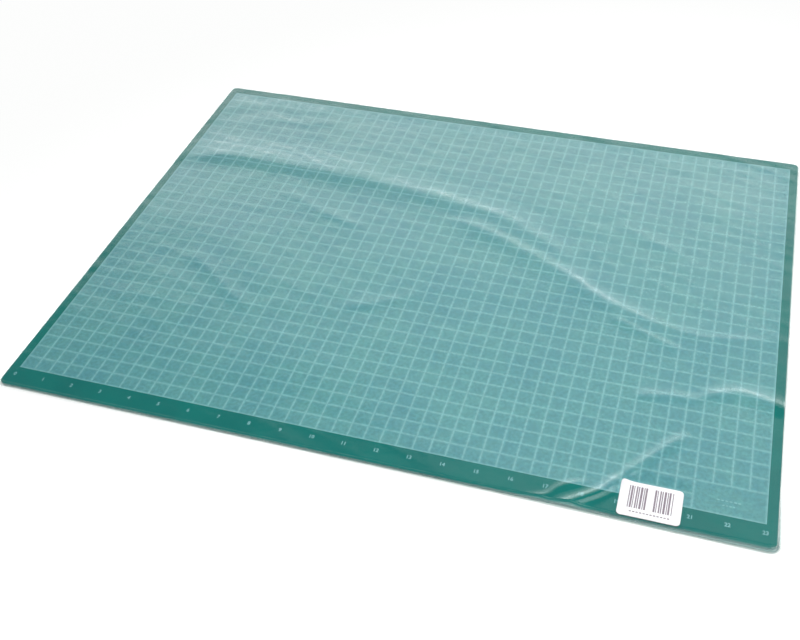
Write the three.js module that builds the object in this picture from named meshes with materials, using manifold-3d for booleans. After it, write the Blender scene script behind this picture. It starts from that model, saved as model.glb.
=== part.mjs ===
// A self-healing cutting mat in its clear retail wrap, with a barcode label stuck on the wrap.
// Millimetres. +Z is up, +X runs along the numbered edge towards its high numbers, and -Y points
// out of the numbered front edge. The origin is on the surface that the wrapped mat lies on, under
// the middle of the whole package.
//
// From below: the lower sheet of the wrap, three bonded plies, three layers of print, the upper
// sheet of the wrap, and the label. The wrap is one web of film, folded along the back edge and
// welded along the left, front and right edges, where each weld stands out as a narrow flange.

import * as THREE from "three";
import { mergeVertices } from "three/addons/utils/BufferGeometryUtils.js";
import Module from "manifold-3d";

const wasm = await Module();
wasm.setup();

// ---- Driving dimensions ----

const INCH = 25.4;

// The mat: a rigid core between two plies of soft vinyl that closes behind a blade.
const MAT_WIDTH = 600;
const MAT_DEPTH = 448;
const MAT_CORNER_RADIUS = 5;
const HEALING_PLY = 1.0;
const CORE_PLY = 1.0;

// The print: half-inch squares, with a wider margin for the numbers along the front edge.
const GRID_PITCH = INCH / 2;
const GRID_COLUMNS = 46;
const GRID_ROWS = 33;
const FRONT_MARGIN = 19;
const LINE_WIDTH = 0.7;
const INK_LAYER = 0.02;
const PANEL_COLUMNS = 4; // the blank panel in the front right corner of the grid
const PANEL_ROWS = 2;

// The wrap: film, its slack around the mat, and its welds.
const FILM = 0.05;
const FILM_SLACK = 0.3;
const WELD_HEIGHT = 2 * FILM;
const WELD_FLANGE = 1.2;
const WELD_GAP = 0.3; // between a side weld and the end of the front weld

// The label, on the wrap over the front margin.
const LABEL_WIDTH = 44;
const LABEL_HEIGHT = 30;
const LABEL_CORNER_RADIUS = 3;
const LABEL_PAPER = 0.1;
const LABEL_CENTRE_COLUMN = 39.8; // in squares from the grid's left line
const LABEL_FRONT_INSET = 0.8; // from the mat's front edge

const CURVE_SEGMENTS = 6; // to each quarter turn of a rounded corner

// ---- Levels, from the surface under the package upwards ----

const Z_LOWER_PLY = FILM;
const Z_CORE = Z_LOWER_PLY + HEALING_PLY;
const Z_UPPER_PLY = Z_CORE + CORE_PLY;
const Z_FIELD_INK = Z_UPPER_PLY + HEALING_PLY;
const Z_CROSSWISE_INK = Z_FIELD_INK + INK_LAYER;
const Z_LENGTHWISE_INK = Z_CROSSWISE_INK + INK_LAYER;
const Z_INK_TOP = Z_LENGTHWISE_INK + INK_LAYER;
const Z_FILM_INSIDE = Z_INK_TOP + FILM_SLACK;
const Z_FILM_TOP = Z_FILM_INSIDE + FILM;
const Z_LABEL_TOP = Z_FILM_TOP + LABEL_PAPER;
const Z_WELD_TOP = Z_FILM_TOP / 2;
const Z_WELD_BOTTOM = Z_WELD_TOP - WELD_HEIGHT;

// ---- Plan positions ----

const HALF_WIDTH = MAT_WIDTH / 2;
const HALF_DEPTH = MAT_DEPTH / 2;
const GRID_LEFT = (-GRID_COLUMNS * GRID_PITCH) / 2;
const GRID_FRONT = -HALF_DEPTH + FRONT_MARGIN;
const gridX = (column) => GRID_LEFT + column * GRID_PITCH;
const gridY = (row) => GRID_FRONT + row * GRID_PITCH;

// ---- Materials ----

const finish = (color, roughness, more = {}) =>
  new THREE.MeshStandardMaterial({ color, roughness, metalness: 0, ...more });
const clear = { transparent: true, opacity: 0.25 };
const MATERIALS = {
  healingVinyl: finish(0x0f6e68, 0.6),
  coreVinyl: finish(0x2b4a48, 0.7),
  fieldInk: finish(0x5a9498, 0.6),
  lineInk: finish(0xb4dede, 0.55),
  film: finish(0xdfe9e9, 0.15, clear),
  weld: finish(0xcfdcdc, 0.3, clear),
  labelPaper: finish(0xf4f4f2, 0.7),
};

// ---- Shapes and solids ----

// Traces a rectangle with rounded corners on a THREE.Shape or a THREE.Path.
function traceRectangle(path, left, front, right, back, radius = 0) {
  path.moveTo(left + radius, front);
  path.lineTo(right - radius, front);
  if (radius) path.absarc(right - radius, front + radius, radius, -Math.PI / 2, 0);
  path.lineTo(right, back - radius);
  if (radius) path.absarc(right - radius, back - radius, radius, 0, Math.PI / 2);
  path.lineTo(left + radius, back);
  if (radius) path.absarc(left + radius, back - radius, radius, Math.PI / 2, Math.PI);
  path.lineTo(left, front + radius);
  if (radius) path.absarc(left + radius, front + radius, radius, Math.PI, 1.5 * Math.PI);
  return path;
}

// The outline of the mat, moved outwards by margin.
function matOutline(margin = 0) {
  const x = HALF_WIDTH + margin;
  const y = HALF_DEPTH + margin;
  return traceRectangle(new THREE.Shape(), -x, -y, x, y, MAT_CORNER_RADIUS + margin);
}

// A flat outline given thickness, with its two faces exactly at the heights asked for, so that
// layers bonded face to face share one plane.
function layer(shape, bottom, top) {
  const geometry = new THREE.ExtrudeGeometry(shape, {
    depth: 1,
    bevelEnabled: false,
    curveSegments: CURVE_SEGMENTS,
  });
  const position = geometry.getAttribute("position");
  for (let i = 0; i < position.count; i++) {
    position.setZ(i, position.getZ(i) > 0.5 ? top : bottom);
  }
  return geometry;
}

function boxLayer(left, front, right, back, bottom, top) {
  return layer(traceRectangle(new THREE.Shape(), left, front, right, back), bottom, top);
}

function toSolid(geometry) {
  const bare = geometry.clone();
  bare.deleteAttribute("normal");
  bare.deleteAttribute("uv");
  const merged = mergeVertices(bare, 1e-4);
  return new wasm.Manifold(
    new wasm.Mesh({
      numProp: 3,
      vertProperties: new Float32Array(merged.getAttribute("position").array),
      triVerts: new Uint32Array(merged.index.array),
    }),
  );
}

function toGeometry(solid) {
  const mesh = solid.getMesh();
  const geometry = new THREE.BufferGeometry();
  geometry.setAttribute("position", new THREE.BufferAttribute(mesh.vertProperties, 3));
  geometry.setIndex(new THREE.BufferAttribute(mesh.triVerts, 1));
  const flat = geometry.toNonIndexed();
  flat.computeVertexNormals();
  return flat;
}

// ---- The assembly ----

const mat = new THREE.Group();

function add(name, geometry, material) {
  const mesh = new THREE.Mesh(geometry, material);
  mesh.name = name;
  mat.add(mesh);
}

// Three plies, bonded face to face.
function addPlies() {
  const outline = matOutline();
  add("lower_healing_ply", layer(outline, Z_LOWER_PLY, Z_CORE), MATERIALS.healingVinyl);
  add("rigid_core_ply", layer(outline, Z_CORE, Z_UPPER_PLY), MATERIALS.coreVinyl);
  add("upper_healing_ply", layer(outline, Z_UPPER_PLY, Z_FIELD_INK), MATERIALS.healingVinyl);
}

// The tint that covers the cutting area and stops at the outermost grid lines.
function addFieldInk() {
  const tint = boxLayer(
    gridX(0),
    gridY(0),
    gridX(GRID_COLUMNS),
    gridY(GRID_ROWS),
    Z_FIELD_INK,
    Z_CROSSWISE_INK,
  );
  add("field_tint_ink", tint, MATERIALS.fieldInk);
}

// A layer of ink over the whole grid, out to half a line beyond its outermost lines, with a slot
// cut for every run of bare squares. Each slot is given by the grid lines that it lies between,
// as [left column, front row, right column, back row].
function slottedInk(bottom, top, slots) {
  const half = LINE_WIDTH / 2;
  const reach = 1;
  const sheet = boxLayer(
    gridX(0) - half,
    gridY(0) - half,
    gridX(GRID_COLUMNS) + half,
    gridY(GRID_ROWS) + half,
    bottom,
    top,
  );
  let ink = toSolid(sheet);
  for (const [left, front, right, back] of slots) {
    const cutter = boxLayer(
      gridX(left) + half,
      gridY(front) + half,
      gridX(right) - half,
      gridY(back) - half,
      bottom - reach,
      top + reach,
    );
    ink = ink.subtract(toSolid(cutter));
  }
  return toGeometry(ink);
}

const PANEL_LEFT = GRID_COLUMNS - PANEL_COLUMNS;
const PANEL_SLOT = [PANEL_LEFT, 0, GRID_COLUMNS, PANEL_ROWS];

// The lines that run front to back. Those over the panel stop at its back line.
function addCrosswiseLines() {
  const slots = [PANEL_SLOT];
  for (let column = 0; column < GRID_COLUMNS; column++) {
    slots.push([column, column < PANEL_LEFT ? 0 : PANEL_ROWS, column + 1, GRID_ROWS]);
  }
  const ink = slottedInk(Z_CROSSWISE_INK, Z_LENGTHWISE_INK, slots);
  add("crosswise_grid_ink", ink, MATERIALS.lineInk);
}

// The lines that run left to right, over the crosswise ones. The one that would cross the panel
// stops at its left line.
function addLengthwiseLines() {
  const slots = [PANEL_SLOT];
  for (let row = 0; row < GRID_ROWS; row++) {
    slots.push([0, row, row < PANEL_ROWS ? PANEL_LEFT : GRID_COLUMNS, row + 1]);
  }
  const ink = slottedInk(Z_LENGTHWISE_INK, Z_INK_TOP, slots);
  add("lengthwise_grid_ink", ink, MATERIALS.lineInk);
}

// Where the straight back edge meets the corner curves: the welds end here and the fold begins.
const Y_FOLD = HALF_DEPTH - MAT_CORNER_RADIUS;

// The two halves of the wrap: a lid over the mat and a tray under it, with walls that meet the
// welds half way up the edge. The tray's back wall is as high as the lid's, and is the fold.
function addFilmSheets() {
  const reach = 1;
  const lid = toSolid(layer(matOutline(FILM_SLACK + FILM), Z_WELD_TOP, Z_FILM_TOP)).subtract(
    toSolid(layer(matOutline(FILM_SLACK), Z_WELD_TOP - reach, Z_FILM_INSIDE)),
  );
  add("upper_film_sheet", toGeometry(lid), MATERIALS.film);

  const x = HALF_WIDTH + WELD_FLANGE + reach;
  const y = HALF_DEPTH + WELD_FLANGE + reach;
  const tray = toSolid(layer(matOutline(FILM_SLACK + FILM), 0, Z_WELD_TOP))
    .subtract(toSolid(layer(matOutline(FILM_SLACK), FILM, Z_WELD_TOP + reach)))
    .subtract(toSolid(boxLayer(-x, -y, x, Y_FOLD, Z_WELD_BOTTOM, Z_WELD_TOP + reach)));
  add("lower_film_sheet", toGeometry(tray), MATERIALS.film);
}

// The welds: one ring of flange around the mat, kept along the front, left and right edges.
function addWelds() {
  const ring = matOutline(FILM_SLACK + WELD_FLANGE);
  const inner = matOutline(FILM_SLACK);
  ring.holes.push(inner);
  const flange = toSolid(layer(ring, Z_WELD_BOTTOM, Z_WELD_TOP));
  const reach = 2 * WELD_FLANGE;
  const x = HALF_WIDTH + reach;
  const yFront = -HALF_DEPTH - reach;
  const yCorner = -HALF_DEPTH + MAT_CORNER_RADIUS;
  const welds = [
    ["front_weld", -x, yFront, x, yCorner],
    ["left_weld", -x, yCorner + WELD_GAP, 0, Y_FOLD],
    ["right_weld", 0, yCorner + WELD_GAP, x, Y_FOLD],
  ];
  for (const [name, left, front, right, back] of welds) {
    const kept = boxLayer(left, front, right, back, Z_WELD_BOTTOM - 1, Z_WELD_TOP + 1);
    add(name, toGeometry(flange.intersect(toSolid(kept))), MATERIALS.weld);
  }
}

function addLabel() {
  const left = gridX(LABEL_CENTRE_COLUMN) - LABEL_WIDTH / 2;
  const front = -HALF_DEPTH + LABEL_FRONT_INSET;
  const outline = traceRectangle(
    new THREE.Shape(),
    left,
    front,
    left + LABEL_WIDTH,
    front + LABEL_HEIGHT,
    LABEL_CORNER_RADIUS,
  );
  add("barcode_label", layer(outline, Z_FILM_TOP, Z_LABEL_TOP), MATERIALS.labelPaper);
}

addPlies();
addFieldInk();
addCrosswiseLines();
addLengthwiseLines();
addFilmSheets();
addWelds();
addLabel();

// The front weld stands further out than the fold at the back, so the mat sits back by half of
// the difference, and the origin is under the middle of the package.
mat.position.y = (WELD_FLANGE - FILM) / 2;

export default mat;
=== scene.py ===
"""A self-healing cutting mat in its clear retail wrap: vinyl, print, wrinkled film and label.

The three plies and the printed grid are the CAD nodes with finished materials. The film wrap,
its welds and the label are rebuilt here as thin wrinkled shells, and the numbers, the marks in
the blank panel and the bars on the label are added. Lengths are in metres. Places on the mat
are given in squares of its grid: columns from the grid's left line, rows from its front line.
"""

import math

import bpy
import numpy as np
from mathutils import Matrix, Vector, noise


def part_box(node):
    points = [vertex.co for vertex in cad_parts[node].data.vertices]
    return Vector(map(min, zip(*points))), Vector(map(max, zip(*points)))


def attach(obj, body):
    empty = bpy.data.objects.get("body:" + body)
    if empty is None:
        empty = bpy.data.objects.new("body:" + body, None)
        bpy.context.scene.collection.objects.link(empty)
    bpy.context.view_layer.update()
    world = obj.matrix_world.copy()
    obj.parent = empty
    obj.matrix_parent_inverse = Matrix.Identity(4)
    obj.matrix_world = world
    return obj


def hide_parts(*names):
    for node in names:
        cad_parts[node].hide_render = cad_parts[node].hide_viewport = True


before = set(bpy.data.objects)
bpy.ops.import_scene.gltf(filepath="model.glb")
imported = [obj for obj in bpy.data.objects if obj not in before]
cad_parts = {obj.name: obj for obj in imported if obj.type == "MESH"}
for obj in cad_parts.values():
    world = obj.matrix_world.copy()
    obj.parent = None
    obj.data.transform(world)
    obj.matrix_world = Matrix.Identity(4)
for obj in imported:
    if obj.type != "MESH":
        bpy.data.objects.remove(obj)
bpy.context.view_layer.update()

MM = 0.001
COLUMNS = 46

# ---- Places, all from the frame ----

print_low, print_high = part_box("field_tint_ink")
vinyl_low, vinyl_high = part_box("upper_healing_ply")
lines_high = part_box("lengthwise_grid_ink")[1]
weld_low, weld_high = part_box("front_weld")
label_low, label_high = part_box("barcode_label")

PITCH = (print_high.x - print_low.x) / COLUMNS
MAT_HALF = Vector(((vinyl_high.x - vinyl_low.x) / 2, (vinyl_high.y - vinyl_low.y) / 2))
MAT_CENTRE_Y = (vinyl_high.y + vinyl_low.y) / 2
MAT_CORNER = 5 * MM


def place(column, row):
    """The x and y of a point on the grid."""
    return print_low.x + column * PITCH, print_low.y + row * PITCH


# ---- Camera, floor and light ----

CAMERA_AT = Vector((201.22, -632.51, 586.16)) * MM
CAMERA_AZIMUTH = math.radians(16.96)
CAMERA_ELEVATION = math.radians(44.60)
CAMERA_ROLL = math.radians(-1.81)
CAMERA_LENS = 44.88  # mm
CAMERA_SENSOR = 36  # mm wide
CAMERA_SHIFT_X = -0.0625  # of the picture's width
CAMERA_CLIP = (0.01, 50)

FLOOR_SIZE = 16.0
KEY_SIZE = 0.9
KEY_POWER = 19.0
KEY_AT = Vector((0.22, -0.25, 1.25))
FILL_SIZE = 0.7
FILL_POWER = 4.0
FILL_AT = Vector((0.35, 0.9, 0.8))


def direction(azimuth, elevation):
    """The unit vector back towards a viewer at that azimuth and elevation."""
    flat = math.cos(elevation)
    return Vector((math.sin(azimuth) * flat, -math.cos(azimuth) * flat, math.sin(elevation)))


def link(data, name):
    made = bpy.data.objects.new(name, data)
    bpy.context.scene.collection.objects.link(made)
    return made


def add_camera():
    data = bpy.data.cameras.new("camera")
    data.lens = CAMERA_LENS
    data.sensor_width = CAMERA_SENSOR
    data.shift_x = CAMERA_SHIFT_X
    data.clip_start, data.clip_end = CAMERA_CLIP
    camera = link(data, "camera")
    back = direction(CAMERA_AZIMUTH, CAMERA_ELEVATION)
    right = Vector((math.cos(CAMERA_AZIMUTH), math.sin(CAMERA_AZIMUTH), 0))
    up = back.cross(right)
    c, s = math.cos(CAMERA_ROLL), math.sin(CAMERA_ROLL)
    axes = (c * right + s * up, c * up - s * right, back)
    camera.matrix_world = Matrix.Translation(CAMERA_AT) @ Matrix(axes).transposed().to_4x4()
    bpy.context.scene.camera = camera


def add_softbox(name, at, size, power):
    """A round softbox that faces the middle of the mat. The film reflects the room instead."""
    data = bpy.data.lights.new(name, "AREA")
    data.shape = "DISK"
    data.size = size
    data.energy = power
    softbox = link(data, name)
    softbox.location = at
    softbox.rotation_mode = "QUATERNION"
    softbox.rotation_quaternion = at.to_track_quat("Z", "Y")
    softbox.visible_glossy = False
    softbox.visible_camera = False


def add_lights():
    add_softbox("key_softbox", KEY_AT, KEY_SIZE, KEY_POWER)
    add_softbox("fill_softbox", FILL_AT, FILL_SIZE, FILL_POWER)


def node(tree, kind, inputs=None, **settings):
    """Adds a shader node. An input is either another node's output, to link, or a value."""
    made = tree.nodes.new("ShaderNode" + kind)
    for key, value in settings.items():
        setattr(made, key, value)
    for key, value in (inputs or {}).items():
        if isinstance(value, bpy.types.NodeSocket):
            tree.links.new(value, made.inputs[key])
        else:
            made.inputs[key].default_value = value
    return made


def maths(tree, operation, *values):
    made = node(tree, "Math", dict(enumerate(values)), operation=operation)
    return made.outputs[0]


def ramp(tree, value, start, end, low=0.0, high=1.0):
    """Eases from low to high while value goes from start to end."""
    inputs = {0: value, 1: start, 2: end, 3: low, 4: high}
    return node(tree, "MapRange", inputs, interpolation_type="SMOOTHSTEP").outputs[0]


# The room that the film reflects: dim above, with a wide pale wall behind the mat. Each step is
# (its light, the elevation at which it starts to fade, and that at which it has gone).
AMBIENT = 0.06
WALL_STEPS = [
    (0.45, math.radians(52), math.radians(66)),
    (0.71, math.radians(31), math.radians(48)),
    (1.3, math.radians(15), math.radians(28)),
    (2.8, math.radians(8), math.radians(18)),
]
LOW_GLOW = (0.7, math.radians(4), math.radians(36))  # low on every other side
WALL_SLANT = 1.4  # the wall's left edge leans this much as it rises
WALL_LEFT = (math.radians(-106), math.radians(-84))  # of azimuth less the lean
WALL_RIGHT = (math.radians(24), math.radians(50))
WINDOW = 1.6  # the light of a soft window on the right
WINDOW_AZIMUTH = (math.radians(66), math.radians(92), math.radians(112), math.radians(138))
WINDOW_ELEVATION = (math.radians(32), math.radians(50), math.radians(64), math.radians(80))
BACKDROP = (0.98, 0.985, 0.98, 1)
ROOM_LIGHT = (1, 1, 0.995, 1)
ROOM_ON_MATT = 0.4  # how much of the room's light falls on matt surfaces


def band(tree, value, start, full, fading, gone):
    """Rises from 0 to 1, stays there and falls back to 0."""
    rise = ramp(tree, value, start, full)
    fall = ramp(tree, value, fading, gone, 1.0, 0.0)
    return maths(tree, "MULTIPLY", rise, fall)


def add_world():
    """The room, for all but the camera itself, which sees a plain pale backdrop."""
    world = bpy.data.worlds.new("studio")
    world.use_nodes = True
    bpy.context.scene.world = world
    tree = world.node_tree
    tree.nodes.clear()
    towards = node(tree, "TexCoord").outputs["Generated"]
    split = node(tree, "SeparateXYZ", {0: towards}).outputs
    elevation = maths(tree, "ARCSINE", split[2])
    azimuth = maths(tree, "ARCTAN2", split[0], split[1])
    light, fades, gone = LOW_GLOW
    glow = ramp(tree, elevation, fades, gone, light, 0.0)
    wall = None
    for light, fades, gone in WALL_STEPS:
        step = ramp(tree, elevation, fades, gone, light, 0.0)
        wall = step if wall is None else maths(tree, "ADD", wall, step)
    lean = maths(tree, "MULTIPLY_ADD", elevation, -WALL_SLANT, azimuth)
    past_left = ramp(tree, lean, *WALL_LEFT)
    before_right = ramp(tree, azimuth, *WALL_RIGHT, 1.0, 0.0)
    across = maths(tree, "MULTIPLY", past_left, before_right)
    beside = band(tree, azimuth, *WINDOW_AZIMUTH)
    window = maths(tree, "MULTIPLY", beside, band(tree, elevation, *WINDOW_ELEVATION))
    dim = maths(tree, "ADD", glow, AMBIENT)
    room_light = maths(tree, "MULTIPLY_ADD", window, WINDOW, dim)
    strength = maths(tree, "MULTIPLY_ADD", wall, across, room_light)
    path = node(tree, "LightPath").outputs
    share = ramp(tree, path["Is Diffuse Ray"], 0.0, 1.0, 1.0, ROOM_ON_MATT)
    strength = maths(tree, "MULTIPLY", strength, share)
    room = node(tree, "Background", {"Color": ROOM_LIGHT, "Strength": strength})
    backdrop = node(tree, "Background", {"Color": BACKDROP})
    sides = {0: path["Is Camera Ray"], 1: room.outputs[0], 2: backdrop.outputs[0]}
    mixed = node(tree, "MixShader", sides)
    node(tree, "OutputWorld", {"Surface": mixed.outputs[0]})


# ---- Materials ----


def new_material(name):
    """A material, its tree and its output node."""
    made = bpy.data.materials.new(name)
    made.use_nodes = True
    made.node_tree.nodes.clear()
    return made, made.node_tree, node(made.node_tree, "OutputMaterial")


def surface(tree, output, shader):
    tree.links.new(shader.outputs[0], output.inputs["Surface"])


def object_point(tree):
    return node(tree, "TexCoord").outputs["Object"]


def cloud(tree, point, size, detail=2.0, roughness=0.5):
    """Soft noise from 0 to 1 whose features are about size across."""
    inputs = {"Vector": point, "Scale": 1 / size, "Detail": detail, "Roughness": roughness}
    return node(tree, "TexNoise", inputs).outputs["Fac"]


def pebbles(tree, point, size):
    """The distance from the middle of each pebble of a moulded grain."""
    return node(tree, "TexVoronoi", {"Vector": point, "Scale": 1 / size}).outputs["Distance"]


def blend(tree, factor, first, second):
    """One colour turning into another."""
    made = node(tree, "Mix", data_type="RGBA")
    colours = [s for s in made.inputs if s.type == "RGBA"]
    made.inputs[0].default_value = 0
    tree.links.new(factor, made.inputs[0])
    for socket, value in zip(colours, (first, second)):
        if isinstance(value, bpy.types.NodeSocket):
            tree.links.new(value, socket)
        else:
            socket.default_value = (*value, 1)
    return [s for s in made.outputs if s.type == "RGBA"][0]


def bumped(tree, height, strength, depth):
    inputs = {"Height": height, "Strength": strength, "Distance": depth}
    return node(tree, "Bump", inputs).outputs["Normal"]


# Of a noise from 0 to 1, the stretch that is spread over the whole of what it varies.
MOST = (0.2, 0.8)
MIDDLE = (0.3, 0.7)

GRAIN = 0.55 * MM  # across one pebble of the moulded grain
VINYL = (0.002, 0.172, 0.155)
VINYL_DEEP = (0.001, 0.140, 0.131)
CORE = (0.022, 0.165, 0.152)
TINT = (0.126, 0.350, 0.348)
TINT_DEEP = (0.093, 0.292, 0.335)
LINES = (0.240, 0.497, 0.521)
LINES_WORN = (0.194, 0.436, 0.475)
THIN_LINES = (0.220, 0.478, 0.498)  # the lengthwise lines are printed a little thinner
THIN_LINES_WORN = (0.175, 0.415, 0.458)
VINYL_DRIFT = 45 * MM  # across one slow drift of tone
VINYL_SPECKLE = 0.9 * MM
VINYL_FLECKS = (0.25, 0.8, 0.4, 1.0)  # the speckle's stretch, and the drift's share over it
SPECKLE_HEIGHT = 0.6  # among the pebbles
VINYL_ROUGHNESS = (0.48, 0.62)
VINYL_SPECULAR = 0.12
VINYL_BUMP = (0.35, 0.05 * MM)  # strength and depth


def vinyl_material(name, colour, deep):
    """Soft matte vinyl with a moulded pebble grain and slow drifts of tone."""
    made, tree, output = new_material(name)
    point = object_point(tree)
    grain = pebbles(tree, point, GRAIN)
    drift = ramp(tree, cloud(tree, point, VINYL_DRIFT), *MIDDLE)
    speckle = cloud(tree, point, VINYL_SPECKLE, 3)
    tone = maths(tree, "MULTIPLY", drift, ramp(tree, speckle, *VINYL_FLECKS))
    height = maths(tree, "ADD", grain, maths(tree, "MULTIPLY", speckle, SPECKLE_HEIGHT))
    inputs = {
        "Base Color": blend(tree, tone, colour, deep),
        "Roughness": ramp(tree, speckle, *MOST, *VINYL_ROUGHNESS),
        "Specular IOR Level": VINYL_SPECULAR,
        "Normal": bumped(tree, height, *VINYL_BUMP),
    }
    surface(tree, output, node(tree, "BsdfPrincipled", inputs))
    return made


# The sizes of the ink's patches, each across one patch, and how they show.
INK_DRIFT = 85 * MM
INK_BLOTCH = 11 * MM
INK_MOTTLE = 3.2 * MM
INK_UNEVEN = 2.6 * MM
INK_SPECKLE = 0.7 * MM
PATCH_SHARE = 0.3  # of the change in tone, for the mottle and for the blotches
DRIFT_SHARE = 0.5
BLOTCHED = (0.32, 0.68)  # of the blotches' noise, the stretch that is spread out
UNEVEN = (0.25, 0.75, 0.88, 1.10)  # the same of the uneven patches, and how dark and light
MISSED = (0.62, 0.74)  # of the speckle, where the ink starts to miss and where it is barest
LINE_PITS = 0.3  # how bare the lines are where the ink misses
TINT_PITS = 0.35
INK_ROUGHNESS = (0.5, 0.66)
INK_SPECULAR = 0.2
INK_BUMP = (0.25, 0.04 * MM)  # strength and depth
# How the grid's lines feather out over the tint, in squares from the middle of a line.
FEATHER = (0.02, 0.15)
FEATHER_STRENGTH = 0.42
PANEL = (42, 2)  # its left column and its back row; it fills the front right corner


def feather(tree, square, low, high, other, limit, operation):
    """1 on the lines of one direction, falling to 0 between them, and 0 on those missing from
    the panel: the ones from low to high, where the other direction is within the limit."""
    nearest = maths(tree, "PINGPONG", square, 0.5)
    on_line = ramp(tree, nearest, *FEATHER, 1.0, 0.0)
    after = maths(tree, "GREATER_THAN", square, low)
    before = maths(tree, "LESS_THAN", square, high)
    within = maths(tree, operation, other, limit)
    missing = maths(tree, "MULTIPLY", maths(tree, "MULTIPLY", after, before), within)
    return maths(tree, "MULTIPLY", on_line, maths(tree, "SUBTRACT", 1.0, missing))


def line_feather(tree, point):
    """How far the grid's line colour shows at each point of the field."""
    split = node(tree, "SeparateXYZ", {0: point}).outputs
    from_corner = [maths(tree, "SUBTRACT", split[i], print_low[i]) for i in (0, 1)]
    column, row = [maths(tree, "DIVIDE", distance, PITCH) for distance in from_corner]
    crosswise = feather(tree, column, PANEL[0] + 0.5, COLUMNS - 0.5, row, PANEL[1], "LESS_THAN")
    lengthwise = feather(tree, row, 0.5, PANEL[1] - 0.5, column, PANEL[0], "GREATER_THAN")
    return maths(tree, "MAXIMUM", crosswise, lengthwise)


def ink_material(name, colour, deep, pits, lines=None):
    """Screen printed ink over grained vinyl: its tone drifts, and it misses a few pits.
    With lines given, that colour feathers into it along the grid."""
    made, tree, output = new_material(name)
    point = object_point(tree)
    grain = pebbles(tree, point, GRAIN)
    drift = ramp(tree, cloud(tree, point, INK_DRIFT, 4, 0.6), *MIDDLE)
    mottle = ramp(tree, cloud(tree, point, INK_MOTTLE, 2), *MIDDLE)
    blotch = ramp(tree, cloud(tree, point, INK_BLOTCH, 3), *BLOTCHED)
    blotched = maths(tree, "MULTIPLY", blotch, PATCH_SHARE)
    worn = maths(tree, "MULTIPLY_ADD", mottle, PATCH_SHARE, blotched)
    tone = maths(tree, "MULTIPLY_ADD", drift, DRIFT_SHARE, worn)
    print_tone = blend(tree, tone, colour, deep)
    if lines:
        feathered = maths(tree, "MULTIPLY", line_feather(tree, point), FEATHER_STRENGTH)
        print_tone = blend(tree, feathered, print_tone, lines)
    speckle = cloud(tree, point, INK_SPECKLE, 3)
    missed = ramp(tree, speckle, *MISSED, 0.0, pits)
    uneven = ramp(tree, cloud(tree, point, INK_UNEVEN, 2), *UNEVEN)
    printed = blend(tree, missed, print_tone, VINYL)
    shaded = node(tree, "VectorMath", {0: printed, "Scale": uneven}, operation="SCALE")
    inputs = {
        "Base Color": shaded.outputs[0],
        "Roughness": ramp(tree, speckle, *MOST, *INK_ROUGHNESS),
        "Specular IOR Level": INK_SPECULAR,
        "Normal": bumped(tree, grain, *INK_BUMP),
    }
    surface(tree, output, node(tree, "BsdfPrincipled", inputs))
    return made


FILM_GLOSS = (0.045, 0.95)  # reflected straight on, and how much more edge on
FILM_CLEAR = (0.965, 0.975, 0.97, 1)
FILM_HAZE = 0.003
FILM_ROUGHNESS = 0.10
WELD_HAZE = 0.08
WELD_ROUGHNESS = 0.25
# The haze's colour, which also paints the sheen of the loose and standing-off film
HAZE_AND_SHEEN_COLOUR = (0.42, 0.62, 0.61, 1)
SLACK_SHEEN = 0.55  # painted sheen: the milky haze added where the film is fully slack, standing in for reflected light
CRINKLE = 7 * MM  # across one soft dent of the film
SPARKLE = (1.3 * MM, 0.12)  # the size of the fine dents, and their height among the soft ones
FILM_BUMP = (0.22, 0.5 * MM)  # strength and depth
GRAZING_POWER = 5.0  # how late the gloss grows towards edge on


def film_material(name, haze, gloss_roughness):
    """Clear polypropylene film: gloss that grows towards grazing, and a trace of milky haze. More
    milk is mixed in where the mesh asks for it, as a painted sheen.
    """
    made, tree, output = new_material(name)
    point = object_point(tree)
    crinkle = cloud(tree, point, CRINKLE, 2, 0.45)
    sparkle = cloud(tree, point, SPARKLE[0], 2)
    height = maths(tree, "MULTIPLY_ADD", sparkle, SPARKLE[1], crinkle)
    normal = bumped(tree, height, *FILM_BUMP)
    facing = node(tree, "LayerWeight", {"Blend": 0.5, "Normal": normal}).outputs["Facing"]
    grazing = maths(tree, "POWER", facing, GRAZING_POWER)
    reflected = maths(tree, "MULTIPLY_ADD", grazing, FILM_GLOSS[1], FILM_GLOSS[0])
    clear = node(tree, "BsdfTransparent", {"Color": FILM_CLEAR})
    haze_and_sheen_shader = node(tree, "BsdfDiffuse", {"Color": HAZE_AND_SHEEN_COLOUR, "Normal": normal})
    # painted sheen: the extra milk that the mesh asks for along its shoulder, at the front right
    # and towards the back
    extra_haze_and_sheen = node(tree, "Attribute", attribute_name="slack").outputs["Fac"]
    haze_and_sheen = maths(tree, "MULTIPLY_ADD", extra_haze_and_sheen, SLACK_SHEEN, haze)
    body = node(tree, "MixShader", {0: haze_and_sheen, 1: clear.outputs[0], 2: haze_and_sheen_shader.outputs[0]})
    inputs = {"Color": (1, 1, 1, 1), "Roughness": gloss_roughness, "Normal": normal}
    gloss = node(tree, "BsdfAnisotropic", inputs)
    mixed = {0: reflected, 1: body.outputs[0], 2: gloss.outputs[0]}
    surface(tree, output, node(tree, "MixShader", mixed))
    return made


PAPER = (0.80, 0.80, 0.82)
PAPER_SHADE = (0.74, 0.75, 0.77)
PAPER_CLOUD = 9 * MM
PAPER_FIBRE = 0.5 * MM
PAPER_ROUGHNESS = (0.5, 0.65)
PAPER_BUMP = (0.15, 0.03 * MM)
THERMAL_INK = (0.13, 0.10, 0.13)
THERMAL_INK_THIN = (0.36, 0.31, 0.35)
THERMAL_FIBRE = 0.35 * MM
THERMAL_BREAKS = (0.35, 0.75)  # of the fibres, where the ink starts to thin and is thinnest
THERMAL_ROUGHNESS = (0.4, 0.6)
THERMAL_BUMP = (0.1, 0.02 * MM)


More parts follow.
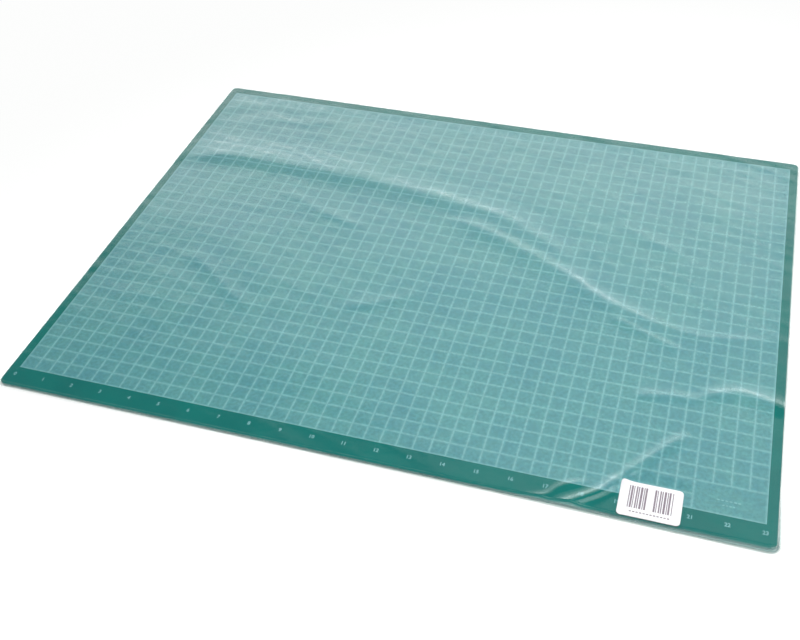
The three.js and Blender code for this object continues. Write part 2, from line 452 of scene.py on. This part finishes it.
def paper_material():
    """Smooth coated label paper with faint fibres."""
    made, tree, output = new_material("label_paper")
    point = object_point(tree)
    fibres = cloud(tree, point, PAPER_FIBRE, 4, 0.65)
    shade = ramp(tree, cloud(tree, point, PAPER_CLOUD), *MIDDLE)
    inputs = {
        "Base Color": blend(tree, shade, PAPER, PAPER_SHADE),
        "Roughness": ramp(tree, fibres, *MOST, *PAPER_ROUGHNESS),
        "Normal": bumped(tree, fibres, *PAPER_BUMP),
    }
    surface(tree, output, node(tree, "BsdfPrincipled", inputs))
    return made


def label_ink_material():
    """Thermal print, dark plum grey, broken up by the paper's fibres."""
    made, tree, output = new_material("label_ink")
    point = object_point(tree)
    fibres = cloud(tree, point, THERMAL_FIBRE, 3)
    broken = ramp(tree, fibres, *THERMAL_BREAKS)
    inputs = {
        "Base Color": blend(tree, broken, THERMAL_INK, THERMAL_INK_THIN),
        "Roughness": ramp(tree, fibres, *MOST, *THERMAL_ROUGHNESS),
        "Normal": bumped(tree, fibres, *THERMAL_BUMP),
    }
    surface(tree, output, node(tree, "BsdfPrincipled", inputs))
    return made


FLOOR = (0.90, 0.905, 0.90)
FLOOR_SHADE = (0.885, 0.895, 0.89)
FLOOR_CLOUD = 0.6
FLOOR_ROUGHNESS = 0.85
FLOOR_GLOW = 0.15  # keeps the tabletop pale where it gets less light
# From the spot under the key light, where the tabletop starts to turn into the sweep, and where
# it has.
SWEEP = (0.25, 0.85)


def floor_material():
    """A plain pale tabletop that runs out into an evenly lit sweep."""
    made, tree, output = new_material("pale_floor")
    point = object_point(tree)
    shade = cloud(tree, point, FLOOR_CLOUD)
    inputs = {
        "Base Color": blend(tree, shade, FLOOR, FLOOR_SHADE),
        "Roughness": FLOOR_ROUGHNESS,
        "Emission Color": BACKDROP,
        "Emission Strength": FLOOR_GLOW,
    }
    tabletop = node(tree, "BsdfPrincipled", inputs)
    foot = (KEY_AT.x, KEY_AT.y, 0)
    away = node(tree, "VectorMath", {0: point, 1: foot}, operation="DISTANCE").outputs["Value"]
    sweep = node(tree, "Emission", {"Color": BACKDROP})
    far = ramp(tree, away, *SWEEP)
    mixed = {0: far, 1: tabletop.outputs[0], 2: sweep.outputs[0]}
    surface(tree, output, node(tree, "MixShader", mixed))
    return made


def wear(obj, material):
    obj.data.materials.clear()
    obj.data.materials.append(material)


def add_floor():
    half = FLOOR_SIZE / 2
    mesh = bpy.data.meshes.new("floor")
    corners = [(-half, -half, 0), (half, -half, 0), (half, half, 0), (-half, half, 0)]
    mesh.from_pydata(corners, [], [(0, 1, 2, 3)])
    floor = link(mesh, "floor")
    wear(floor, floor_material())


# ---- The film's shape ----

# Creases of the film: a height, and how far the fold slopes away in front and behind, in
# millimetres; how round its crest is; and its route over the grid, from left to right.
CREASES = [
    # the long fold that crosses the mat from the left edge
    (2.4, 11.5, 23, 1.8, [(-0.4, 23.6), (3.5, 24.2), (7.5, 24.2), (12.5, 24.0), (17.0, 23.6)]),
    (2.0, 12, 11.5, 1.7, [(12.8, 24.0), (19.3, 23.3), (25.0, 22.1), (28.8, 20.4), (33.0, 17.4)]),
    # its second branch, down to the right
    (2.3, 12, 7.9, 1.6, [(21.5, 21.2), (26.0, 19.8), (31.8, 16.8), (34.4, 15.1), (39.0, 13.3)]),
    (0.9, 7, 5, 1.7, [(35.6, 14.6), (38.3, 13.7), (41.0, 13.2), (43.5, 13.5), (46.3, 14.1)]),
    (1.1, 5, 4, 1.7, [(35.0, 13.7), (37.1, 12.9), (39.0, 12.1), (40.6, 11.6)]),
    # sharp creases near the label
    (1.2, 5.5, 5, 1.6, [(37.4, 7.1), (39.4, 7.6), (41.2, 7.85), (42.5, 8.0)]),
    (2.4, 6.5, 6.9, 1.6, [(41.4, 7.9), (42.8, 8.55), (43.9, 8.85), (45.2, 8.7), (47.4, 8.1)]),
    (2.3, 5, 5.2, 1.6, [(37.1, -0.05), (38.25, 1.3), (39.3, 2.6), (40.2, 3.7), (41.6, 5.35)]),
    (2.6, 4.2, 5.2, 1.7, [(33.8, -2.6), (35.9, -1.15), (37.3, -0.05), (38.35, 1.3)]),
    (1.5, 3.4, 3.5, 1.7, [(30.6, -2.3), (32.4, -1.95), (34.1, -1.3), (35.0, -0.4), (36.8, 0.5)]),
    # faint folds on the open field
    (0.7, 6, 7, 1.8, [(8.8, 21.0), (10.4, 20.6), (13.4, 19.3), (17.4, 18.1)]),
    (0.5, 6, 7, 1.8, [(4.8, 13.5), (6.4, 12.3), (8.8, 10.6), (12.4, 7.9)]),
    (0.6, 6, 7, 1.8, [(17.6, 9.9), (20.2, 11.1), (23.0, 12.6)]),
    (0.6, 7, 8, 1.8, [(33.8, 23.6), (36.6, 22.1), (39.6, 20.6)]),
    # swirls in the back left corner
    (0.6, 8, 12, 1.8, [(-0.3, 29.6), (1.4, 31.2), (4.1, 31.7), (7.0, 31.6), (10.6, 32.6)]),
    (0.5, 7, 10, 1.8, [(1.4, 28.3), (4.0, 29.7), (7.4, 30.0), (11.8, 30.9)]),
]
CREASE_STEP = 2 * MM  # between the points along a crease
CREASE_REACH = 3  # times its width, beyond which it is flat
CREASE_FADE = 0.22  # the share of a crease's length over which each end dies away
EDGE_SHARE = 0.25  # of its height, which a crease keeps where it runs off the mat

FILM_REST = 0.18 * MM  # between the ink and the film where it lies flat
LABEL_CALM = 12 * MM  # the label smooths the film, and this far around it
CALM_SHARE = 0.12  # of the film's noise that is left under the label

# Noise in the film between its creases: the size of its features across and along their
# heading, the heading and a seed.
PUFFS = (55 * MM, 95 * MM, -0.3, 1.7)
WAVES = (16 * MM, 60 * MM, -0.35, 5.2)
RIPPLES = (9 * MM, 26 * MM, 0.5, 9.4)
# Their heights in millimetres. For puffs, the lowest and how much more the highest has. For
# waves and ripples, along the field's front edge and how much more along its back edge.
PUFF_HEIGHT = (0.35, 0.9)
WAVE_HEIGHT = (0.10, 0.22)
RIPPLE_HEIGHT = (0.05, 0.08)


def smooth_route(points):
    """Points along a Catmull-Rom curve through the given ones."""
    given = np.array(points, float)
    padded = np.vstack([2 * given[0] - given[1], given, 2 * given[-1] - given[-2]])
    route = []
    for a, b, c, d in zip(padded, padded[1:], padded[2:], padded[3:]):
        count = max(2, int(np.linalg.norm(c - b) / CREASE_STEP))
        square_term = 2 * a - 5 * b + 4 * c - d
        cube_term = 3 * b - a - 3 * c + d
        for t in np.linspace(0, 1, count, endpoint=False):
            route.append(0.5 * (2 * b + (c - a) * t + square_term * t**2 + cube_term * t**3))
    route.append(given[-1])
    return np.array(route)


def eased(t):
    """Takes 0 to 1 with a soft start and a soft end."""
    return t * t * (3 - 2 * t)


def crease_height(x, y, height, front, back, roundness, squares):
    """One fold of the film over arrays of plan positions."""
    route = smooth_route([place(*s) for s in squares])
    heading = np.gradient(route, axis=0)
    heading /= np.linalg.norm(heading, axis=1)[:, None]
    made = np.zeros(x.shape)
    reach = CREASE_REACH * max(front, back) * MM
    low, high = route.min(0) - reach, route.max(0) + reach
    near = (x > low[0]) & (x < high[0]) & (y > low[1]) & (y < high[1])
    flat = np.stack([x[near], y[near]], -1)
    gaps = np.linalg.norm(flat[:, None] - route[None], axis=2)
    closest = gaps.argmin(1)
    offset = flat - route[closest]
    across = heading[closest, 0] * offset[:, 1] - heading[closest, 1] * offset[:, 0]
    distance = gaps[np.arange(len(flat)), closest]
    width = np.where(across < 0, front, back) * MM
    along = closest / (len(route) - 1)
    fade = eased(np.clip(np.minimum(along, 1 - along) / CREASE_FADE, 0, 1))
    at_edge = EDGE_SHARE + (1 - EDGE_SHARE) * fade
    if squares[0][0] < 0:  # it runs off the left edge
        fade = np.where(along < 0.5, at_edge, fade)
    if squares[-1][0] >= COLUMNS:  # it runs off the right edge
        fade = np.where(along > 0.5, at_edge, fade)
    made[near] = height * MM * fade * np.exp(-((distance / width) ** roundness))
    return made


def noise_field(x, y, across, along, turn, seed, ridged=False):
    """Smooth noise from -1 to 1, stretched along a heading in plan."""
    c, s = math.cos(turn), math.sin(turn)
    p = (c * x + s * y) / along
    q = (c * y - s * x) / across
    values = np.empty(x.size)
    for i, (a, b) in enumerate(zip(p.ravel(), q.ravel())):
        values[i] = noise.noise((a, b, seed))
    values = values.reshape(x.shape)
    return 1 - 2 * np.abs(values) if ridged else values


def towards_back(y):
    """0 at the front edge of the field and 1 at its back edge."""
    return np.clip((y - print_low.y) / (print_high.y - print_low.y), 0, 1)


def label_calm(x, y):
    """1 away from the label, falling to 0 under it."""
    centre = (label_low + label_high) / 2
    half = (label_high - label_low) / 2
    dx = np.maximum(np.abs(x - centre.x) - half.x, 0)
    dy = np.maximum(np.abs(y - centre.y) - half.y, 0)
    return eased(np.clip(np.hypot(dx, dy) / LABEL_CALM, 0, 1))


def film_top(x, y):
    """The height of the upper film's underside over arrays of plan positions."""
    back = towards_back(y)
    puffs = 0.5 + 0.5 * noise_field(x, y, *PUFFS)
    waves = noise_field(x, y, *WAVES, ridged=True)
    ripples = noise_field(x, y, *RIPPLES)
    lift = (PUFF_HEIGHT[0] + PUFF_HEIGHT[1] * puffs) * MM
    lift += (WAVE_HEIGHT[0] + WAVE_HEIGHT[1] * back) * MM * np.clip(waves, 0, 1)
    lift += (RIPPLE_HEIGHT[0] + RIPPLE_HEIGHT[1] * back) * MM * ripples
    lift *= CALM_SHARE + (1 - CALM_SHARE) * label_calm(x, y)
    for crease in CREASES:
        lift += crease_height(x, y, *crease)
    return lines_high.z + FILM_REST + lift


SLACK_MIDDLE = 0.27  # the x about which the film hangs loose
SLACK_REACH = (0.13, 0.03)  # to the sides, and back from the front edge
EDGE_SHEEN = 0.12  # painted sheen, as milky haze all along the film's edge
STAND_OFF_AND_SHEEN = 0.12  # at the back of the field: the haze where the film stands off, with painted sheen
STAND_OFF_SHEEN_EASE = 2 * PITCH  # from the field's sides and back, where it starts to stand off and take the painted sheen


def slack(x, y):
    """1 near the front right corner, where the film hangs loose over the edge, falling to 0. The
    painted sheen on the film is strongest there too.
    """
    aside = (x - SLACK_MIDDLE) / SLACK_REACH[0]
    behind = (y - vinyl_low.y) / SLACK_REACH[1]
    return np.exp(-(aside**2) - (behind**2))


def standing_off(x, y):
    """The film's haze where it stands off the field, partly painted sheen that pales the far
    field: more towards the back, and none over the margins."""
    margin = np.minimum(print_high.x - np.abs(x), print_high.y - y) / STAND_OFF_SHEEN_EASE
    return STAND_OFF_AND_SHEEN * towards_back(y) ** 2 * np.clip(margin, 0, 1)


# The weld's wander, in radians to the metre: one slow swell, and a flutter of two waves. Each
# phase is in radians.
SWELL = Vector((21, 33))
SWELL_PHASE = (0.6, 1.1)
FLUTTER = (Vector((130, 95)), Vector((47, -61)))
FLUTTER_PHASE = 2
# In millimetres: how much of the swell and of the flutter goes up, and how far out the weld
# stands, with the swell, the flutter and the slack added to it.
RIM_UP = (0.30, 0.18)
RIM_OUT = (0.25, 0.2, 0.15, 1.6)


def rim_drift(x, y):
    """How far the weld has moved up and out from where it would lie on a taut wrap."""
    swell = np.sin(x * SWELL.x + SWELL_PHASE[0]) * np.cos(y * SWELL.y + SWELL_PHASE[1])
    first = np.sin(x * FLUTTER[0].x + y * FLUTTER[0].y)
    second = np.sin(x * FLUTTER[1].x + y * FLUTTER[1].y + FLUTTER_PHASE)
    flutter = first * second
    up = (RIM_UP[0] * swell + RIM_UP[1] * flutter) * MM
    out = (RIM_OUT[0] + RIM_OUT[1] * swell + RIM_OUT[2] * flutter + RIM_OUT[3] * slack(x, y)) * MM
    return up, out


# ---- The film's meshes ----

FILM = 0.05 * MM
FILM_GAP = 0.35 * MM  # between the mat's edge and the film
SHOULDER = 2.4 * MM  # how far in from the mat's edge the film starts to curve down
SHOULDER_POWER = 4.0  # of the superellipse that the film's edge follows
SHOULDER_STEPS = 9
FILM_STEP = Vector((3.6, 1.8)) * MM
FINE_STEP = Vector((1.2, 1.1)) * MM  # where sharp creases cross the mesh lines at a slant
FINE_COLUMNS = (31.2, 42.0)
FINE_ROWS = (-1.4, 5.6)
UNDER_STEP = Vector((12.0, 12.0)) * MM
WELD_Z = (weld_low.z + weld_high.z) / 2
TINY = 1e-9  # keeps a division by zero away


def spaced(start, end, step):
    return np.linspace(start, end, math.ceil((end - start) / step), endpoint=False)


def edge_lines(half, step, fine_step, fine):
    """Positions of the mesh lines across one side, and how far each is up the shoulder. The
    lines are closer together within the fine stretch."""
    inner = half - SHOULDER
    runs = [(-inner, fine[0], step), (*fine, fine_step), (fine[1], inner, step)]
    flat = np.concatenate([spaced(*run) for run in runs] + [[inner]])
    angle = np.linspace(0, math.pi / 2, SHOULDER_STEPS, endpoint=False)
    out = (SHOULDER + FILM_GAP) * np.cos(angle) ** (2 / SHOULDER_POWER) - SHOULDER
    rise = np.sin(angle) ** (2 / SHOULDER_POWER)
    position = np.concatenate([-(half + out), flat, (half + out)[::-1]])
    risen = np.concatenate([rise, np.ones(len(flat)), rise[::-1]])
    return position, risen


def rounded(x, y):
    """Pulls the square corners of a plan grid onto arcs round the mat's corner centres."""
    dx = np.abs(x) - (MAT_HALF.x - MAT_CORNER)
    dy = np.abs(y) - (MAT_HALF.y - MAT_CORNER)
    corner = (dx > 0) & (dy > 0)
    pull = np.ones(x.shape)
    pull[corner] = np.maximum(dx, dy)[corner] / np.hypot(dx, dy)[corner]
    rx = np.where(corner, np.sign(x) * (MAT_HALF.x - MAT_CORNER + dx * pull), x)
    ry = np.where(corner, np.sign(y) * (MAT_HALF.y - MAT_CORNER + dy * pull), y)
    return rx, ry


def outward(x, y):
    """Unit vectors pointing out of the mat's outline."""
    dx = np.maximum(np.abs(x) - (MAT_HALF.x - MAT_CORNER), 0)
    dy = np.maximum(np.abs(y) - (MAT_HALF.y - MAT_CORNER), 0)
    length = np.maximum(np.hypot(dx, dy), TINY)
    return np.sign(x) * dx / length, np.sign(y) * dy / length


def grid_mesh(name, x, y, z, flip=False):
    """A smooth mesh over a grid of points."""
    rows, columns = x.shape
    index = np.arange(rows * columns).reshape(rows, columns)
    quads = np.stack([index[:-1, :-1], index[:-1, 1:], index[1:, 1:], index[1:, :-1]], -1)
    quads = quads.reshape(-1, 4)
    if flip:
        quads = quads[:, ::-1]
    mesh = bpy.data.meshes.new(name)
    mesh.from_pydata(np.stack([x, y, z], -1).reshape(-1, 3), [], quads.tolist())
    mesh.shade_smooth()
    mesh.update()
    return link(mesh, name)


def thicken(obj, thickness, offset):
    shell = obj.modifiers.new("thickness", "SOLIDIFY")
    shell.thickness = thickness
    shell.offset = offset
    return obj


def wrap_shell(name, step, fine_step, surface_height, flip):
    """One sheet of the wrap, from weld to weld: flat over the mat, curved down to the rim."""
    fine_x = [place(column, 0)[0] for column in FINE_COLUMNS]
    fine_y = [place(0, row)[1] - MAT_CENTRE_Y for row in FINE_ROWS]
    xs, x_risen = edge_lines(MAT_HALF.x, step.x, fine_step.x, fine_x)
    ys, y_risen = edge_lines(MAT_HALF.y, step.y, fine_step.y, fine_y)
    x, y = np.meshgrid(xs, ys)
    risen = np.minimum(*np.meshgrid(x_risen, y_risen))
    x, y = rounded(x, y)
    nx, ny = outward(x, y)
    up, out = rim_drift(x, y + MAT_CENTRE_Y)
    loose = 1 - risen
    x = x + nx * out * loose
    y = y + ny * out * loose + MAT_CENTRE_Y
    rim = WELD_Z + up
    z = rim + (surface_height(x, y) - rim) * risen
    sheet = grid_mesh(name, x, y, z, flip)
    # painted sheen: extra milky haze along the shoulder, most at the front right, and towards the
    # back
    extra_haze_and_sheen = standing_off(x, y) + loose * (EDGE_SHEEN + slack(x, y))
    haze_and_sheen = sheet.data.attributes.new("slack", "FLOAT", "POINT")
    haze_and_sheen.data.foreach_set("value", extra_haze_and_sheen.ravel())
    made = thicken(sheet, FILM, 1.0)
    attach(made, "root")
    return made


def under_film(x, y):
    """The lower sheet's upper face: pressed flat between the mat and the table."""
    return np.full(x.shape, FILM)


def add_film(film):
    upper = wrap_shell("film_upper", FILM_STEP, FINE_STEP, film_top, False)
    lower = wrap_shell("film_lower", UNDER_STEP, UNDER_STEP, under_film, True)
    for sheet, cad_node, rests_on in (
        (upper, "upper_film_sheet", "lengthwise_grid_ink"),
        (lower, "lower_film_sheet", "lower_healing_ply"),
    ):
        wear(sheet, film)
        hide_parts(cad_node)


# ---- Welds ----

WELD_WIDTH = 1.2 * MM
WELD_THICKNESS = 0.12 * MM
WELD_STEP = 0.45 * MM
CRIMP_PITCH = 1.8 * MM
CRIMP_DEPTH = 0.07 * MM
WELD_LINES = 5
WELD_LAP = 0.05 * MM  # over the film's rim
WELD_END_GAP = 0.3 * MM  # between a side weld and the front one


def outline_point(s):
    """Point and outward normal of the mat's outline, at a distance s along it from the middle
    of the front edge, counterclockwise seen from above."""
    hx, hy, r = MAT_HALF.x - MAT_CORNER, MAT_HALF.y - MAT_CORNER, MAT_CORNER
    arc = r * math.pi / 2
    runs = [(hx, "line"), (arc, "arc"), (2 * hy, "line"), (arc, "arc"), (2 * hx, "line")]
    runs += [(arc, "arc"), (2 * hy, "line"), (arc, "arc"), (hx, "line")]
    s = s % sum(length for length, _ in runs)
    at, angle = Vector((0, -MAT_HALF.y)), -math.pi / 2
    for length, kind in runs:
        step = min(s, length)
        along = Vector((-math.sin(angle), math.cos(angle)))
        if kind == "line":
            at = at + along * step
        else:
            normal = Vector((math.cos(angle), math.sin(angle)))
            centre = at - normal * r
            angle += step / r
            at = centre + Vector((math.cos(angle), math.sin(angle))) * r
        s -= step
        if s <= 0:
            break
    return at, Vector((math.cos(angle), math.sin(angle)))


def add_weld(name, cad_node, start, end, material):
    """A crimped strip along part of the outline, standing out from the film's rim."""
    count = int((end - start) / WELD_STEP)
    distances = np.linspace(start, end, count)
    points = [outline_point(s) for s in distances]
    base = np.array([p for p, _ in points])
    normal = np.array([n for _, n in points])
    up, out = rim_drift(base[:, 0], base[:, 1] + MAT_CENTRE_Y)
    across = np.linspace(FILM_GAP - WELD_LAP, FILM_GAP + WELD_WIDTH, WELD_LINES)
    reach = out[:, None] + across[None]
    x = base[:, :1] + normal[:, :1] * reach
    y = base[:, 1:] + normal[:, 1:] * reach + MAT_CENTRE_Y
    crimp = np.sin(distances * 2 * math.pi / CRIMP_PITCH)[:, None]
    fade = np.sin(np.linspace(0, math.pi, WELD_LINES))[None]
    z = WELD_Z + up[:, None] + CRIMP_DEPTH * crimp * fade
    made = thicken(grid_mesh(name, x, y, z), WELD_THICKNESS, 0.0)
    wear(made, material)
    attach(made, "root")
    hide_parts(cad_node)


def add_welds(material):
    hx, hy = MAT_HALF.x - MAT_CORNER, MAT_HALF.y - MAT_CORNER
    arc = MAT_CORNER * math.pi / 2
    front_end = hx + arc
    side = 2 * hy
    add_weld("weld_front", "front_weld", -front_end, front_end, material)
    add_weld("weld_right", "right_weld", front_end + WELD_END_GAP, front_end + side, material)
    add_weld("weld_left", "left_weld", -front_end - side, -front_end - WELD_END_GAP, material)


# ---- Label ----

LABEL_PAPER = 0.1 * MM
LABEL_STEP = 1.0 * MM
LABEL_CORNER = 3 * MM
LABEL_GAP = 0.06 * MM  # between the film and the paper where it lies closest
LABEL_LIFT = 0.55 * MM  # of its loosest corner, at the front right
LEFT_LIFT = 0.35  # the share of it that the front left corner has
LABEL_SWAY = 0.12 * MM  # up and down, along one soft wave
SWAY_ANGLES = (5, 0.5, 3)  # of the wave: over the label's length, at its start, over its depth
PRINT_DEPTH = 0.012 * MM
PRINT_STEP = 2 * MM


def label_height(x, y):
    """The underside of the label: it follows the film and lifts a little at its front."""
    u = (x - label_low.x) / (label_high.x - label_low.x)
    v = (y - label_low.y) / (label_high.y - label_low.y)
    lift = LABEL_LIFT * (1 - v) ** 3 * (LEFT_LIFT + (1 - LEFT_LIFT) * u)
    along, start, deep = SWAY_ANGLES
    sway = LABEL_SWAY * np.sin(u * along + start) * np.cos(v * deep)
    return film_top(x, y) + FILM + LABEL_GAP + lift + sway + LABEL_SWAY


def label_top(x, y):
    return label_height(x, y) + LABEL_PAPER


def rounded_rectangle(low, high, radius, step):
    """A plan grid filling a rectangle whose corners are pulled onto arcs."""
    nx = max(2, round((high.x - low.x) / step))
    ny = max(2, round((high.y - low.y) / step))
    x, y = np.meshgrid(np.linspace(low.x, high.x, nx + 1), np.linspace(low.y, high.y, ny + 1))
    cx, cy = (low.x + high.x) / 2, (low.y + high.y) / 2
    dx = np.abs(x - cx) - ((high.x - low.x) / 2 - radius)
    dy = np.abs(y - cy) - ((high.y - low.y) / 2 - radius)
    corner = (dx > 0) & (dy > 0)
    pull = np.ones(x.shape)
    pull[corner] = np.maximum(dx, dy)[corner] / np.hypot(dx, dy)[corner]
    x = np.where(corner, x + np.sign(x - cx) * dx * (pull - 1), x)
    y = np.where(corner, y + np.sign(y - cy) * dy * (pull - 1), y)
    return x, y


def add_label(paper, ink):
    x, y = rounded_rectangle(label_low, label_high, LABEL_CORNER, LABEL_STEP)
    label = grid_mesh("label_paper", x, y, label_top(x, y))
    thicken(label, LABEL_PAPER, -1.0)
    wear(label, paper)
    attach(label, "root")
    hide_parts("barcode_label")
    printed = add_label_print(ink)


# The print on the label, in millimetres from its front left corner. The bars' widths and gaps
# repeat in short cycles, so they spell nothing.
BAR_BLOCKS = [(6.5, 20.8), (24.4, 37.6)]
BAR_FRONT, BAR_BACK = 7.6, 26.6
BAR_WIDTHS = (0.7, 1.3, 0.6, 1.0, 0.8, 1.5)
BAR_GAPS = (0.7, 0.5, 1.1, 0.5, 0.8)
DASH_ROW = (4.0, 5.0)
DASH_COUNT = 12
DASH_START = 8.5
DASH_PITCH = 2.4
DASH_LENGTH = 1.5


def label_rectangles():
    """The bars and dashes, each as (left, front, right, back)."""
    made = []
    for block, (left, right) in enumerate(BAR_BLOCKS):
        at, i = left, block
        while at + BAR_WIDTHS[i % len(BAR_WIDTHS)] < right:
            wide = BAR_WIDTHS[i % len(BAR_WIDTHS)]
            made.append((at, BAR_FRONT, at + wide, BAR_BACK))
            at += wide + BAR_GAPS[i % len(BAR_GAPS)]
            i += 1
    for i in range(DASH_COUNT):
        left = DASH_START + DASH_PITCH * i
        made.append((left, DASH_ROW[0], left + DASH_LENGTH, DASH_ROW[1]))
    return made


def print_patches(name, rectangles, height, step):
    """Thin closed patches of ink, each following a surface."""
    points, faces = [], []
    for left, front, right, back in rectangles:
        nx = max(1, math.ceil((right - left) / step))
        ny = max(1, math.ceil((back - front) / step))
        x, y = np.meshgrid(np.linspace(left, right, nx + 1), np.linspace(front, back, ny + 1))
        z = height(x, y)
        start = len(points)
        points += np.stack([x, y, z], -1).reshape(-1, 3).tolist()
        for j in range(ny):
            for i in range(nx):
                a = start + j * (nx + 1) + i
                faces.append((a, a + 1, a + nx + 2, a + nx + 1))
    mesh = bpy.data.meshes.new(name)
    mesh.from_pydata(points, [], faces)
    mesh.update()
    made = thicken(link(mesh, name), PRINT_DEPTH, 1.0)
    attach(made, "root")
    return made


def add_label_print(ink):
    rectangles = [
        (label_low.x + a * MM, label_low.y + b * MM, label_low.x + c * MM, label_low.y + d * MM)
        for a, b, c, d in label_rectangles()
    ]
    made = print_patches("label_bars", rectangles, label_top, PRINT_STEP)
    wear(made, ink)
    return made


# ---- Numbers and panel marks on the mat ----

NUMBER_SIZE = 4.4 * MM  # of the type, whose figures are about 0.7 of it tall
NUMBER_WEIGHT = 0.13 * MM  # added all round each figure
NUMBER_CURVE = 4  # steps to each curve of a figure
NUMBER_ROW = -0.6
INK_DEPTH = 0.02 * MM
SQUARES_TO_AN_INCH = 2


def number_mesh(number):
    """The figures of one number as a thin solid, centred on the origin."""
    curve = bpy.data.curves.new("figures", "FONT")
    curve.body = str(number)
    curve.size = NUMBER_SIZE
    curve.extrude = INK_DEPTH / 2
    curve.offset = NUMBER_WEIGHT
    curve.resolution_u = NUMBER_CURVE
    curve.align_x = "CENTER"
    curve.align_y = "CENTER"
    holder = bpy.data.objects.new("figures", curve)
    mesh = bpy.data.meshes.new_from_object(holder)
    bpy.data.objects.remove(holder)
    bpy.data.curves.remove(curve)
    return mesh


def add_numbers(ink):
    """The inch numbers along the front margin, printed straight on the vinyl."""
    points, faces = [], []
    for number in range(COLUMNS // SQUARES_TO_AN_INCH + 1):
        x, y = place(number * SQUARES_TO_AN_INCH, NUMBER_ROW)
        figures = number_mesh(number)
        start = len(points)
        move = Vector((x, y, vinyl_high.z + INK_DEPTH / 2))
        points += [v.co + move for v in figures.vertices]
        faces += [[start + i for i in p.vertices] for p in figures.polygons]
        bpy.data.meshes.remove(figures)
    mesh = bpy.data.meshes.new("inch_numbers")
    mesh.from_pydata(points, [], faces)
    mesh.update()
    numbers = link(mesh, "inch_numbers")
    wear(numbers, ink)
    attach(numbers, "root")


# Plain dashes in the blank panel, in squares: (first column, row, dash length, dashes).
PANEL_DASHES = [(43.3, 0.92, 0.16, 6), (43.62, 0.6, 0.12, 4)]
PANEL_DASH_HEIGHT = 0.9 * MM
PANEL_DASH_SPACE = 0.07
PANEL_DASH_STEP = 3 * MM


def field_top(x, y):
    return np.full(x.shape, print_high.z)


def add_panel_dashes(ink):
    rectangles = []
    for column, row, length, count in PANEL_DASHES:
        for i in range(count):
            left, front = place(column + i * (length + PANEL_DASH_SPACE), row)
            rectangles.append((left, front, left + length * PITCH, front + PANEL_DASH_HEIGHT))
    made = print_patches("panel_dashes", rectangles, field_top, PANEL_DASH_STEP)
    wear(made, ink)


# ---- The whole ----


def dress_cad_nodes(line_ink):
    thin_line_ink = ink_material("thin_line_ink", THIN_LINES, THIN_LINES_WORN, LINE_PITS)
    vinyl = vinyl_material("healing_vinyl", VINYL, VINYL_DEEP)
    core = vinyl_material("core_vinyl", CORE, CORE)
    tint = ink_material("field_tint", TINT, TINT_DEEP, TINT_PITS, LINES)
    for name, material in (
        ("lower_healing_ply", vinyl),
        ("rigid_core_ply", core),
        ("upper_healing_ply", vinyl),
        ("field_tint_ink", tint),
        ("crosswise_grid_ink", line_ink),
        ("lengthwise_grid_ink", thin_line_ink),
    ):
        wear(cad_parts[name], material)


def build():
    add_camera()
    add_world()
    add_lights()
    add_floor()
    line_ink = ink_material("line_ink", LINES, LINES_WORN, LINE_PITS)
    dress_cad_nodes(line_ink)
    add_numbers(line_ink)
    add_panel_dashes(line_ink)
    add_film(film_material("clear_film", FILM_HAZE, FILM_ROUGHNESS))
    add_welds(film_material("welded_film", WELD_HAZE, WELD_ROUGHNESS))
    add_label(paper_material(), label_ink_material())
    bpy.context.scene.view_settings.view_transform = "Standard"


build()
